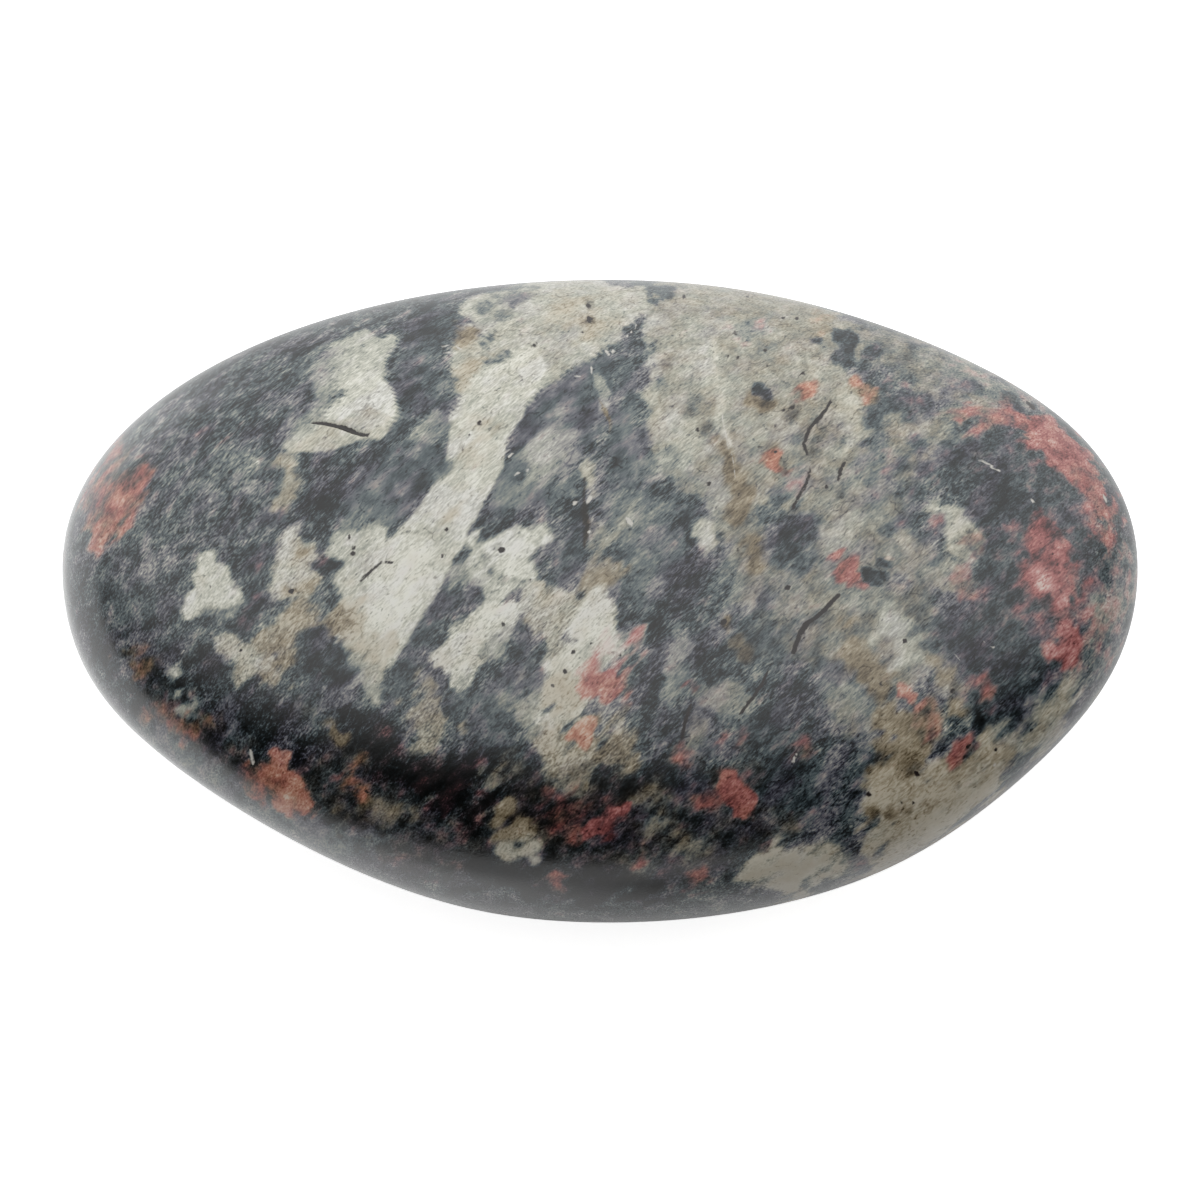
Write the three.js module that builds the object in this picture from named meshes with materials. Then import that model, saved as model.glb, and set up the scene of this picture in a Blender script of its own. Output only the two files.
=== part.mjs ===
// A hand-polished rhodonite freeform: one smooth, lopsided pebble of stone, ground flat on a small patch of its belly.
// Millimetres, +Z up. +X runs along the stone and -Y is its front. The origin is on the surface that it rests on,
// under the middle of the stone's box.
import * as THREE from "three";
import { mergeVertices } from "three/addons/utils/BufferGeometryUtils.js";

// How far the stone reaches from its middle. The middle is at the girdle, the level where the stone is widest.
const REACH = { left: 55.6, right: 54.1, front: 37.4, back: 30.0, top: 21.0, bottom: 26.5 };

// How full the round body is: 2 gives an ellipsoid, and a larger number a boxier stone.
const FULLNESS = 2.03;

// Soft flats that the grinding wheel left. Each faces a way given by a turn from +X about Z and a tilt above the
// horizon, in degrees, and lies at a distance from the stone's middle.
const WHEEL_FLATS = [
  { turn: -123, tilt: -32, distance: 36.2 }, // below the girdle at the front left
  { turn: -48, tilt: -12, distance: 45.4 }, // at the front right
  { turn: 68, tilt: 0, distance: 33.4 }, // along the back
  { turn: 0, tilt: -90, distance: 24.9 }, // the shoulder round the resting flat
];

// How crisply a wheel flat meets the round body: a larger number gives a tighter edge.
const EDGE_CRISPNESS = 26;

// The resting flat's depth below the stone's middle. It is the only truly plane face.
const RESTING_DEPTH = 24.35;

// How many times each edge of the starting icosahedron is split.
const EDGE_SPLITS = 20;

const STONE_COLOUR = 0x84857f;
const POLISH_ROUGHNESS = 0.3;

// A wheel flat as the way it faces and its distance.
function flatPlane({ turn, tilt, distance }) {
  const polar = THREE.MathUtils.degToRad(90 - tilt);
  const azimuth = THREE.MathUtils.degToRad(turn);
  const facing = new THREE.Vector3(
    Math.sin(polar) * Math.cos(azimuth),
    Math.sin(polar) * Math.sin(azimuth),
    Math.cos(polar),
  );
  return { facing, distance };
}

// How large the round body would have to be, as a share of its real size, to reach a point.
function roundShare({ x, y, z }) {
  const along = x > 0 ? x / REACH.right : -x / REACH.left;
  const across = y > 0 ? y / REACH.back : -y / REACH.front;
  const upright = z > 0 ? z / REACH.top : -z / REACH.bottom;
  return (along ** FULLNESS + across ** FULLNESS + upright ** FULLNESS) ** (1 / FULLNESS);
}

// The same share for the ground stone: the round body and its wheel flats, met in rounded edges.
function groundShare(point, planes) {
  const shares = planes.map(({ facing, distance }) => Math.max(0, point.dot(facing) / distance));
  shares.push(roundShare(point));
  const sum = shares.reduce((total, share) => total + share ** EDGE_CRISPNESS, 0);
  return sum ** (1 / EDGE_CRISPNESS);
}

// The stone's closed surface: a ball of even triangles, drawn out to the stone's proportions, with each corner then
// moved along its line from the middle on to the ground surface or the resting flat, whichever comes first.
function stoneGeometry() {
  const ball = new THREE.IcosahedronGeometry(1, EDGE_SPLITS);
  ball.deleteAttribute("normal");
  ball.deleteAttribute("uv");
  const geometry = mergeVertices(ball);
  geometry.scale(
    (REACH.left + REACH.right) / 2,
    (REACH.front + REACH.back) / 2,
    (REACH.top + REACH.bottom) / 2,
  );

  const planes = WHEEL_FLATS.map(flatPlane);
  const corners = geometry.getAttribute("position");
  const corner = new THREE.Vector3();
  for (let i = 0; i < corners.count; i++) {
    corner.fromBufferAttribute(corners, i);
    const share = Math.max(groundShare(corner, planes), -corner.z / RESTING_DEPTH);
    corner.divideScalar(share);
    corners.setXYZ(i, corner.x, corner.y, corner.z);
  }

  geometry.computeBoundingBox();
  const middle = geometry.boundingBox.getCenter(new THREE.Vector3());
  geometry.translate(-middle.x, -middle.y, RESTING_DEPTH);
  geometry.computeVertexNormals();
  return geometry;
}

const polishedRhodonite = new THREE.MeshStandardMaterial({
  color: STONE_COLOUR,
  roughness: POLISH_ROUGHNESS,
  metalness: 0,
});

const stone = new THREE.Mesh(stoneGeometry(), polishedRhodonite);
stone.name = "stone";

const freeform = new THREE.Group();
freeform.add(stone);

export default freeform;
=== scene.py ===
# %% [markdown]
# # A polished rhodonite freeform
# The object is one pebble of rock, ground on a wheel and polished all over. It has no parts, so the whole
# lesson is about two things: a smooth skin with real curvature, and a skin colour that looks like grown
# minerals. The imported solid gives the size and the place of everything. It is loaded first and is never
# moved.

# %% Load the frame
import math

import bpy
import numpy as np
from mathutils import Matrix, Vector, noise


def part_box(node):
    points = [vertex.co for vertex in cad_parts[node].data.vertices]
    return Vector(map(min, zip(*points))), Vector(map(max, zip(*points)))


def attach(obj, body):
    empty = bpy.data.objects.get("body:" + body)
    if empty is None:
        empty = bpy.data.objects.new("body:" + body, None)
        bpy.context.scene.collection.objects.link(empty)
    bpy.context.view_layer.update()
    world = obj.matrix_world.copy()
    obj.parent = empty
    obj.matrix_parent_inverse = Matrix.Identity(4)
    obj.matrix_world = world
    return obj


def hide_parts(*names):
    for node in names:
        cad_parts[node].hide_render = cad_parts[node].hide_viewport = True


MM_PER_M = 1000.0

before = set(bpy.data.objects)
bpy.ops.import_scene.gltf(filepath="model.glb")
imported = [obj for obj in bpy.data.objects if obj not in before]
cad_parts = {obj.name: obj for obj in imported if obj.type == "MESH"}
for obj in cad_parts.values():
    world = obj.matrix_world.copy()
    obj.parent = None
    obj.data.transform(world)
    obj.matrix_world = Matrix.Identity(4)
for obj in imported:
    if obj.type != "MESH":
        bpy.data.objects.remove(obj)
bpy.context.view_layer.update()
stone_low, stone_high = (Vector(corner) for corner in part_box("stone"))
stone_middle = (stone_low + stone_high) / 2
stone_half = (stone_high - stone_low) / 2
print("nodes:", len(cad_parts), "stone, mm:", [round(MM_PER_M * side, 1) for side in 2 * stone_half])

# %% [markdown]
# ## The camera
# The photo looks down on the stone from in front, about 70 degrees above the horizon, from far enough away
# that the outline has almost no perspective. A long lens does the same. The camera comes first because the
# markings are placed by what it sees: one photo pixel is then a known place on the skin.

# %% Place the camera
VIEW_HEIGHT = math.radians(70.0)
VIEW_DISTANCE = 0.4082
VIEW_TARGET = Vector((0.0, 0.0, 0.0230))
LENS_MM = 120.0
SENSOR_MM = 36.0
PHOTO_PIXELS = 1200

to_camera = Vector((0.0, -math.cos(VIEW_HEIGHT), math.sin(VIEW_HEIGHT)))
camera_data = bpy.data.cameras.new("photo_camera")
camera_data.lens = LENS_MM
camera_data.sensor_width = SENSOR_MM
camera = bpy.data.objects.new("photo_camera", camera_data)
camera.location = VIEW_TARGET + VIEW_DISTANCE * to_camera
camera.rotation_euler = to_camera.to_track_quat("Z", "Y").to_euler()
bpy.context.scene.collection.objects.link(camera)
bpy.context.scene.camera = camera
print("camera, m:", [round(value, 4) for value in camera.location])

# %% [markdown]
# ## Floor and light
# A polished stone mirrors what stands round it. This one is lit softly from above and behind, its front is
# dark, and its lower left rim is bright. Lamps could do that, but a sky whose brightness falls off from one
# axis gives the same haze with no hard spots. The floor is plain and pale to the eye. In the polish its
# front is dark and a strip at its left glows, and straight views of the sky stay white, so that the
# backdrop is plain from every side.

# %% A value that rises along a way
def rise_along(tree, place, way, edge, ends, smooth=False):
    """A value that goes from one end to the other while a place, measured along a way, crosses an edge."""
    distance = tree.nodes.new("ShaderNodeVectorMath")
    distance.operation = "DOT_PRODUCT"
    distance.inputs[1].default_value = way
    tree.links.new(place, distance.inputs[0])
    rise = tree.nodes.new("ShaderNodeMapRange")
    rise.interpolation_type = "SMOOTHSTEP" if smooth else "LINEAR"
    rise.inputs["From Min"].default_value, rise.inputs["From Max"].default_value = edge
    rise.inputs["To Min"].default_value, rise.inputs["To Max"].default_value = ends
    tree.links.new(distance.outputs["Value"], rise.inputs["Value"])
    return rise.outputs["Result"]


print("helper for the floor and the sky:", rise_along.__name__)

# %% Lay the floor
FLOOR_HALF = 3.0
FLOOR_ROUGHNESS = 0.9

floor_mesh = bpy.data.meshes.new("floor")
floor_corners = [(x * FLOOR_HALF, y * FLOOR_HALF, 0.0) for x, y in ((-1, -1), (1, -1), (1, 1), (-1, 1))]
floor_mesh.from_pydata(floor_corners, [], [(0, 1, 2, 3)])
floor = bpy.data.objects.new("floor", floor_mesh)
bpy.context.scene.collection.objects.link(floor)
floor_paint = bpy.data.materials.new("floor_paint")
floor_paint.use_nodes = True
floor_mesh.materials.append(floor_paint)
floor_tree = floor_paint.node_tree
floor_shader = floor_tree.nodes["Principled BSDF"]
floor_shader.inputs["Roughness"].default_value = FLOOR_ROUGHNESS
floor_path = floor_tree.nodes.new("ShaderNodeLightPath")
floor_place = floor_tree.nodes.new("ShaderNodeTexCoord").outputs["Object"]
print("floor, m:", 2 * FLOOR_HALF)

# %% Shade the floor
FLOOR_SEEN = (0.95, 0.95, 0.95, 1.0)
FLOOR_BOUNCE = (0.42, 0.42, 0.42, 1.0)
FRONT_WAY = Vector((-0.5, 0.87, 0.0))
FRONT_EDGE = (-0.10, -0.055)
FRONT_MIRRORED = (0.02, 1.0)
MIX_SHARE, MIX_UNDER, MIX_OVER, MIX_RESULT = 0, 6, 7, 2  # numbers of a Mix node's colour sockets

floor_shade = rise_along(floor_tree, floor_place, FRONT_WAY, FRONT_EDGE, FRONT_MIRRORED)
for ray, ray_colour in (("Is Diffuse Ray", FLOOR_BOUNCE), ("Is Camera Ray", FLOOR_SEEN)):
    floor_mix = floor_tree.nodes.new("ShaderNodeMix")
    floor_mix.data_type = "RGBA"
    floor_mix.inputs[MIX_OVER].default_value = ray_colour
    floor_tree.links.new(floor_path.outputs[ray], floor_mix.inputs[MIX_SHARE])
    floor_tree.links.new(floor_shade, floor_mix.inputs[MIX_UNDER])
    floor_shade = floor_mix.outputs[MIX_RESULT]
floor_tree.links.new(floor_shade, floor_shader.inputs["Base Color"])
print("floor as seen:", FLOOR_SEEN[0], "as it lights the stone:", FLOOR_BOUNCE[0])

# %% Let the floor glow
FLOOR_GLOW = 0.75
STRIP_WAY = Vector((-0.9, -0.44, 0.0))
STRIP_EDGE = (0.02, 0.06)
STRIP_GLOW = 0.9

strip = rise_along(floor_tree, floor_place, STRIP_WAY, STRIP_EDGE, (0.0, STRIP_GLOW))
mirrored_glow = floor_tree.nodes.new("ShaderNodeMath")
mirrored_glow.operation = "MULTIPLY"
floor_tree.links.new(strip, mirrored_glow.inputs[0])
floor_tree.links.new(floor_path.outputs["Is Glossy Ray"], mirrored_glow.inputs[1])
floor_glow = floor_tree.nodes.new("ShaderNodeMath")
floor_glow.operation = "MULTIPLY_ADD"
floor_glow.inputs[1].default_value = FLOOR_GLOW
floor_tree.links.new(floor_path.outputs["Is Camera Ray"], floor_glow.inputs[0])
floor_tree.links.new(mirrored_glow.outputs[0], floor_glow.inputs[2])
floor_shader.inputs["Emission Color"].default_value = FLOOR_SEEN
floor_tree.links.new(floor_glow.outputs[0], floor_shader.inputs["Emission Strength"])
print("floor glow as seen:", FLOOR_GLOW, "strip in the polish:", STRIP_GLOW)

# %% Light the room
LIGHT_TILT = math.radians(45.0)
LIGHT_AXIS = Vector((0.0, math.sin(LIGHT_TILT), math.cos(LIGHT_TILT)))
LIGHT_EDGE = (-0.1, 0.45)
LIGHT_STRENGTHS = (0.02, 1.42)
BACKDROP_COLOUR = (1.0, 1.0, 1.0, 1.0)

world = bpy.data.worlds.new("studio")
world.use_nodes = True
bpy.context.scene.world = world
sky = world.node_tree
sky.nodes.clear()
sky_way = sky.nodes.new("ShaderNodeTexCoord").outputs["Generated"]
sky_fall = rise_along(sky, sky_way, LIGHT_AXIS, LIGHT_EDGE, LIGHT_STRENGTHS, smooth=True)
sky_light = sky.nodes.new("ShaderNodeBackground")
sky_seen = sky.nodes.new("ShaderNodeBackground")
sky_seen.inputs["Color"].default_value = BACKDROP_COLOUR
sky_path = sky.nodes.new("ShaderNodeLightPath")
sky_mix = sky.nodes.new("ShaderNodeMixShader")
sky_out = sky.nodes.new("ShaderNodeOutputWorld")
sky.links.new(sky_fall, sky_light.inputs["Strength"])
sky.links.new(sky_path.outputs["Is Camera Ray"], sky_mix.inputs["Fac"])
sky.links.new(sky_light.outputs["Background"], sky_mix.inputs[1])
sky.links.new(sky_seen.outputs["Background"], sky_mix.inputs[2])
sky.links.new(sky_mix.outputs["Shader"], sky_out.inputs["Surface"])
bpy.context.scene.view_settings.view_transform = "Standard"
print("light axis:", [round(value, 3) for value in LIGHT_AXIS])

# %% [markdown]
# ## The skin
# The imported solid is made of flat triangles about 2 mm wide, and polish shows each one. So a finer net is
# laid over it. A ball of longitude lines would pinch at its poles, so the net is a box of even squares
# blown up to a ball, with more squares along the stone's length than across it. Shrinkwrap lays it on the
# solid and Smooth takes the corners of the triangles away.

# %% Make the net
NET_COUNT = (200, 120, 80)
NET_LIFT = 1.03  # the net starts a little outside the solid
NET_RAISE = 0.45  # moves the net's middle towards the camera, so that the seen side gets more squares
TILE_MARGIN = 0.004
WELD_DIGITS = 6


def box_side(axis, sign):
    """One side of the box: its points on a ball, its squares as rows of four corners, and their flat map."""
    across, along = [(1, 2), (2, 0), (0, 1)][axis]
    if sign < 0:
        across, along = along, across
    count_u, count_v = NET_COUNT[across], NET_COUNT[along]
    u, v = np.meshgrid(np.linspace(-1, 1, count_u + 1), np.linspace(-1, 1, count_v + 1), indexing="ij")
    points = np.empty((count_u + 1, count_v + 1, 3))
    points[..., axis] = sign
    points[..., across] = np.tan(u * math.pi / 4)
    points[..., along] = np.tan(v * math.pi / 4)
    points /= np.linalg.norm(points, axis=2, keepdims=True)
    index = np.arange(points[..., 0].size).reshape(count_u + 1, count_v + 1)
    ring = (index[:-1, :-1], index[1:, :-1], index[1:, 1:], index[:-1, 1:])
    squares = np.stack([corner.ravel() for corner in ring], axis=1)
    column = axis
    row = 0 if sign < 0 else 1
    flat_u = (column + TILE_MARGIN + (u + 1) / 2 * (1 - 2 * TILE_MARGIN)) / 3
    flat_v = (row + TILE_MARGIN + (v + 1) / 2 * (1 - 2 * TILE_MARGIN)) / 2
    flat = np.stack([flat_u.ravel(), flat_v.ravel()], axis=1)
    return points.reshape(-1, 3), squares, flat[squares]


sides = [box_side(axis, sign) for axis in range(3) for sign in (-1, 1)]
side_starts = np.cumsum([0] + [len(points) for points, _, _ in sides[:-1]])
all_points = np.concatenate([points for points, _, _ in sides])
all_squares = np.concatenate([squares + start for (_, squares, _), start in zip(sides, side_starts)])
all_flat = np.concatenate([flat for _, _, flat in sides])
rounded = np.round(all_points, WELD_DIGITS)
_, first_seen, welded = np.unique(rounded, axis=0, return_index=True, return_inverse=True)
ball_points = all_points[first_seen]
raised = NET_RAISE * np.array(to_camera)
along_ray = ball_points @ raised
ball_points = raised + ball_points * (np.sqrt(along_ray ** 2 + 1 - NET_RAISE ** 2) - along_ray)[:, None]
ball_squares = welded.reshape(-1)[all_squares]
print("net:", len(ball_points), "corners,", len(ball_squares), "squares")

# %% Lay it on the solid
SMOOTH_ROUNDS = 25
SMOOTH_FACTOR = 0.5

net_points = ball_points * np.array(stone_half) * NET_LIFT + np.array(stone_middle)
net_mesh = bpy.data.meshes.new("polished_skin")
net_mesh.from_pydata(net_points.tolist(), [], ball_squares.tolist())
bake_map = net_mesh.uv_layers.new(name="OFBake")
bake_map.data.foreach_set("uv", all_flat.reshape(-1))
skin = bpy.data.objects.new("polished_stone", net_mesh)
bpy.context.scene.collection.objects.link(skin)

wrap = skin.modifiers.new("lay on the solid", "SHRINKWRAP")
wrap.target = bpy.data.objects["stone"]
wrap.wrap_method = "NEAREST_SURFACEPOINT"
polish = skin.modifiers.new("polish", "SMOOTH")
polish.factor = SMOOTH_FACTOR
polish.iterations = SMOOTH_ROUNDS
laid_mesh = bpy.data.meshes.new_from_object(skin.evaluated_get(bpy.context.evaluated_depsgraph_get()))
skin.modifiers.clear()
skin.data = laid_mesh
laid_mesh.shade_smooth()

corner_count = len(laid_mesh.vertices)
corners = np.empty(3 * corner_count)
laid_mesh.vertices.foreach_get("co", corners)
corners = corners.reshape(-1, 3)
facing = np.empty(3 * corner_count)
laid_mesh.vertex_normals.foreach_get("vector", facing)
facing = facing.reshape(-1, 3)
print("skin, mm:", np.round(MM_PER_M * np.ptp(corners, axis=0), 2))

# %% [markdown]
# ## Where the markings go
# A picture texture would be the quick way to colour a stone, but it would only fit one side. Here the
# markings are brush strokes, given in photo pixels, and the camera's own geometry carries them to the skin.
# The hidden side needs markings too. Bands of rock run right through a stone, and aslant, so the same
# strokes are read there, shifted further the further a place lies behind the visible edge.

# %% Carry the skin into the photo
HIDDEN_SHIFT = np.array((240.0, -110.0))


def photo_place(points):
    """The photo pixel at which the camera sees each point."""
    focal = PHOTO_PIXELS * LENS_MM / SENSOR_MM
    axes = np.array(camera.rotation_euler.to_matrix())
    seen = (points - np.array(camera.location)) @ axes
    return PHOTO_PIXELS / 2 + focal * seen[:, :2] / -seen[:, 2:] * (1, -1)


toward = np.array(camera.location) - corners
toward /= np.linalg.norm(toward, axis=1, keepdims=True)
hidden = np.clip(-np.sum(facing * toward, axis=1), 0, 1)
spot = photo_place(corners) + hidden[:, None] * HIDDEN_SHIFT
print("photo box:", np.round(spot.min(axis=0)), np.round(spot.max(axis=0)))
print("hidden share:", round(float(np.mean(hidden > 0)), 2))

# %% [markdown]
# Brush strokes have smooth sides, and minerals never do. Shifting each place a little before the strokes
# are read makes the sides wander, and a second noise frays them. The rock's fibres all lean the same way,
# so the fraying is stretched along that lean. On the hidden side the shift is larger, so that the bands are
# no copy of those in front. Blender's vector noise starts from the clock unless it is given a seed, so a
# seed keeps every run the same.

# %% Let the strokes wander and fray
FIBRE_LEAN = math.radians(44.0)
WANDER_SEED = 1
WANDERS = ((9.0, 3.0, 45.0), (2.6, 3.5, 12.0))  # size in mm, then shift in pixels: seen and hidden
FRAY_STRETCH = (2.6, 0.75, 1.2)
FRAYS = ((2.4, 0.75), (1.1, 0.75), (0.7, 0.4))  # size in mm, then share of a stroke's edge

noise.seed_set(WANDER_SEED)
for size_mm, seen_shift, hidden_shift in WANDERS:
    shifts = np.array([noise.noise_vector(Vector(MM_PER_M * corner / size_mm)) for corner in corners])
    spot += shifts[:, :2] * (seen_shift + (hidden_shift - seen_shift) * hidden)[:, None]

lean_turn = np.array(Matrix.Rotation(-FIBRE_LEAN, 3, "Z")).T
fibre_spot = MM_PER_M * corners @ lean_turn / np.array(FRAY_STRETCH)
fray = np.zeros(corner_count)
for size_mm, share in FRAYS:
    fray += share * np.array([noise.noise(Vector(place / size_mm)) for place in fibre_spot])
print("fray:", np.round(fray.min(), 2), "to", np.round(fray.max(), 2))

# %% [markdown]
# ## Painting with tones
# Rock is not a set of flat colours. It is lighter and darker all over, and only then rosy or rusty. So four
# fields are painted: how light, how rosy, how rusty and how fibrous each corner is. A stroke is a chain of
# points, each with its place and half width in photo pixels. It blends over what lies below, and there are
# three brushes, whose edges are crisp, soft or ragged.

# %% The brushes
CRISP_EDGE = 3.2
SOFT_EDGE = 10.0
RAGGED_EDGE = 21.0
FRAY_REACH = 2  # how many widths of its edge the fray can carry a stroke
GROUND_TONE = 0.47
GROUND_FIBRE = 1.0
SMOOTH_FIBRE = 0.55

light = np.full(corner_count, GROUND_TONE)
rosy = np.zeros(corner_count)
rusty = np.zeros(corner_count)
fibrous = np.full(corner_count, GROUND_FIBRE)
painted = []


def stroke_depth(points, reach):
    """The corners near a stroke of (x, y, half width) points, and how deep inside it each lies, in pixels."""
    points = np.array(points, dtype=float)
    low = np.min(points[:, :2] - points[:, 2:], axis=0) - reach
    high = np.max(points[:, :2] + points[:, 2:], axis=0) + reach
    near = np.flatnonzero(np.all((spot > low) & (spot < high), axis=1))
    places = spot[near]
    inside = points[0, 2] - np.linalg.norm(places - points[0, :2], axis=1)
    for start, end in zip(points, points[1:]):
        run = end[:2] - start[:2]
        share = np.clip((places - start[:2]) @ run / (run @ run), 0, 1)
        gap = np.linalg.norm(places - start[:2] - share[:, None] * run, axis=1)
        inside = np.maximum(inside, start[2] + share * (end[2] - start[2]) - gap)
    return near, inside


def brush(edge):
    """A brush whose strokes fade out over an edge, in pixels."""
    def paint(name, tone, *points, rose=0.0, rust=0.0, fibre=SMOOTH_FIBRE):
        """Blend one stroke of rock over what lies below it."""
        near, inside = stroke_depth(points, FRAY_REACH * edge)
        cover = np.clip(inside / edge + fray[near] + 0.5, 0, 1)
        cover *= cover * (3 - 2 * cover)
        for field_values, value in ((light, tone), (rosy, rose), (rusty, rust), (fibrous, fibre)):
            field_values[near] += (value - field_values[near]) * cover
        painted.append(name)
    return paint


def dots(stroke, name, tone, *points, **minerals):
    """Blend separate round spots with one of the brushes."""
    for point in points:
        stroke(name, tone, point, **minerals)


crisp, soft, ragged = (brush(edge) for edge in (CRISP_EDGE, SOFT_EDGE, RAGGED_EDGE))
print("ground tone:", GROUND_TONE)

# %% [markdown]
# ## The ground and the grey field
# Slate-coloured fibrous rock is the ground of the stone. It is painted darker towards the bottom, partly
# as dark rock and partly as painted shade where the light falls off, and it turns purple at the right end.
# The largest pale field fills the right half, grey and a little warm. Each stroke is named by where it lies.

# %% Dark ground
# painted shade: the bottom is darkened where the light falls off, over rock that is dark there too
ragged("bottom rock", 0.34, (170, 690, 40), (300, 770, 60), (450, 815, 70), (620, 830, 70), (760, 810, 50),
       rose=0.2, rust=0.3)
ragged("right rock", 0.45, (985, 450, 40), (1040, 520, 66), (1030, 600, 66), (1010, 690, 50),
       (950, 640, 30), rose=0.25, fibre=0.6)
soft("shoulder shade", 0.36, (213, 386, 10), (201, 402, 9), fibre=1.0)
ragged("purple shade", 0.42, (200, 436, 12), (225, 440, 10), (250, 428, 12), (275, 432, 8), rose=0.2,
       fibre=1.0)
ragged("upper light fibres", 0.55, (288, 398, 12), (262, 415, 10), fibre=1.0)
ragged("light fibres", 0.61, (238, 462, 20), (215, 482, 16), (255, 488, 14), fibre=1.0)
dots(soft, "dark knots", 0.40, (264, 472, 7), (228, 480, 6), (242, 500, 7), (205, 462, 6), fibre=1.0)
ragged("low light fibres", 0.55, (192, 504, 14), (180, 528, 16), (160, 545, 18), fibre=1.0)
ragged("dark bank", 0.40, (280, 468, 10), (276, 500, 9), rose=0.2)
ragged("dark left foot", 0.46, (112, 590, 16), (125, 625, 18), (160, 612, 14), fibre=0.8)
ragged("left foot rim", 0.24, (88, 624, 9), (102, 645, 12), (118, 668, 12), (142, 690, 9), fibre=0.8)
# painted reflection: the lower left rim is lightened as if it mirrored the bright floor
ragged("lower left rim light", 0.57, (160, 738, 10), (230, 787, 12), (310, 832, 14), (368, 840, 16),
       fibre=0.6)
print("strokes:", len(painted))

# %% The grey field
soft("top", 0.74, (672, 300, 20), (730, 312, 32), (790, 326, 32), (835, 342, 24), (880, 340, 12), rust=0.45)
soft("upper", 0.71, (695, 350, 38), (745, 380, 54), (810, 400, 48), (845, 420, 36), rust=0.45)
soft("middle", 0.69, (694, 425, 32), (740, 450, 50), (800, 462, 54), (850, 478, 44), rust=0.45)
soft("lower", 0.63, (742, 520, 24), (755, 590, 24), (820, 590, 50), (860, 540, 48), (885, 520, 28),
     rust=0.35)
soft("beside the wedge", 0.75, (668, 318, 18), (664, 352, 12), (678, 385, 20), (662, 420, 20),
     (672, 450, 20), rust=0.4)
soft("over the skirt", 0.71, (676, 468, 16), (698, 480, 16), (716, 496, 13), (724, 520, 12), rust=0.3)
soft("foot", 0.59, (805, 630, 34), (850, 640, 42), (890, 630, 36), (905, 665, 24), rust=0.4)
ragged("hem", 0.69, (840, 695, 22), (860, 712, 24), rust=0.2)
ragged("shoulder", 0.63, (880, 350, 24), (925, 365, 28), (960, 390, 22), (990, 400, 16), rust=0.4)
ragged("under the shoulder", 0.64, (905, 430, 30), (945, 425, 20), (890, 455, 28), (905, 480, 18),
       rust=0.45)
ragged("right rim", 0.70, (960, 365, 14), (1010, 392, 12), (1050, 425, 10), rose=0.25)
soft("beside the cream lens", 0.65, (905, 555, 22), (925, 572, 22), (895, 530, 18), rust=0.4)
ragged("right edge", 0.63, (893, 600, 16), (925, 600, 14), (912, 640, 16), rust=0.4)
ragged("tan side", 0.60, (846, 632, 12), (858, 654, 16), (876, 676, 16), (886, 700, 14), rust=1.0)
print("strokes:", len(painted))

# %% Lights and shades in the grey field
ragged("cream top", 0.80, (700, 345, 20), (712, 380, 16), (718, 420, 10), rust=0.3)
ragged("cream left", 0.81, (668, 428, 14), (690, 440, 20), rust=0.3)
ragged("cream near the crack", 0.79, (748, 430, 12), (762, 436, 10), rust=0.3)
ragged("cream right", 0.79, (852, 398, 12), (850, 425, 14), (862, 440, 12), rust=0.4)
ragged("cream low", 0.84, (884, 612, 14), (894, 630, 18), (908, 652, 14), rust=0.2)
ragged("right of the crack", 0.70, (838, 580, 10), (852, 596, 10), rust=0.2)
ragged("cream middle", 0.77, (836, 534, 18), (850, 510, 12), rust=0.3)
dots(ragged, "light middle", 0.80, (785, 432, 16), (790, 462, 8), (842, 450, 7), rust=0.4)
soft("green glint", 0.76, (668, 458, 8), (686, 466, 8))
crisp("white vein", 0.84, (712, 336, 2.2), (716, 380, 2.4), (724, 430, 2.4), (736, 478, 2.2), rust=0.4)
dots(soft, "smudges by the wedge", 0.55, (666, 364, 4), (667, 380, 4), (658, 402, 6), (706, 428, 7),
     (690, 410, 4), rust=0.6)
dots(ragged, "shade at the crack", 0.56, (828, 432, 9), (806, 438, 8), (806, 482, 8), (838, 482, 9),
     rust=0.4)
ragged("violet shade", 0.60, (862, 470, 12), (872, 495, 12), (884, 440, 8), rose=0.2)
soft("brown vein", 0.54, (722, 445, 3), (731, 472, 6), (743, 493, 10), (737, 520, 10), rust=1.0)
ragged("brown foot", 0.60, (738, 545, 10), (752, 540, 9), (755, 565, 9), rust=0.9)
ragged("low shade", 0.44, (757, 645, 8), (745, 645, 7), rose=0.1)
ragged("beside the skirt", 0.73, (728, 572, 11), (732, 592, 13), (744, 606, 11), rust=0.2)
ragged("between the cracks", 0.47, (764, 606, 8), (760, 628, 11), (776, 652, 9), rust=0.2)
ragged("crack shade", 0.47, (838, 674, 8), (816, 650, 7), (804, 640, 6), rust=0.2)
soft("brown eye", 0.40, (727, 618, 4), (727, 628, 4), rust=1.0)
dots(ragged, "pink wash", 0.71, (742, 332, 10), (762, 330, 10), (795, 484, 8), rose=0.35)
print("strokes:", len(painted))

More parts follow.
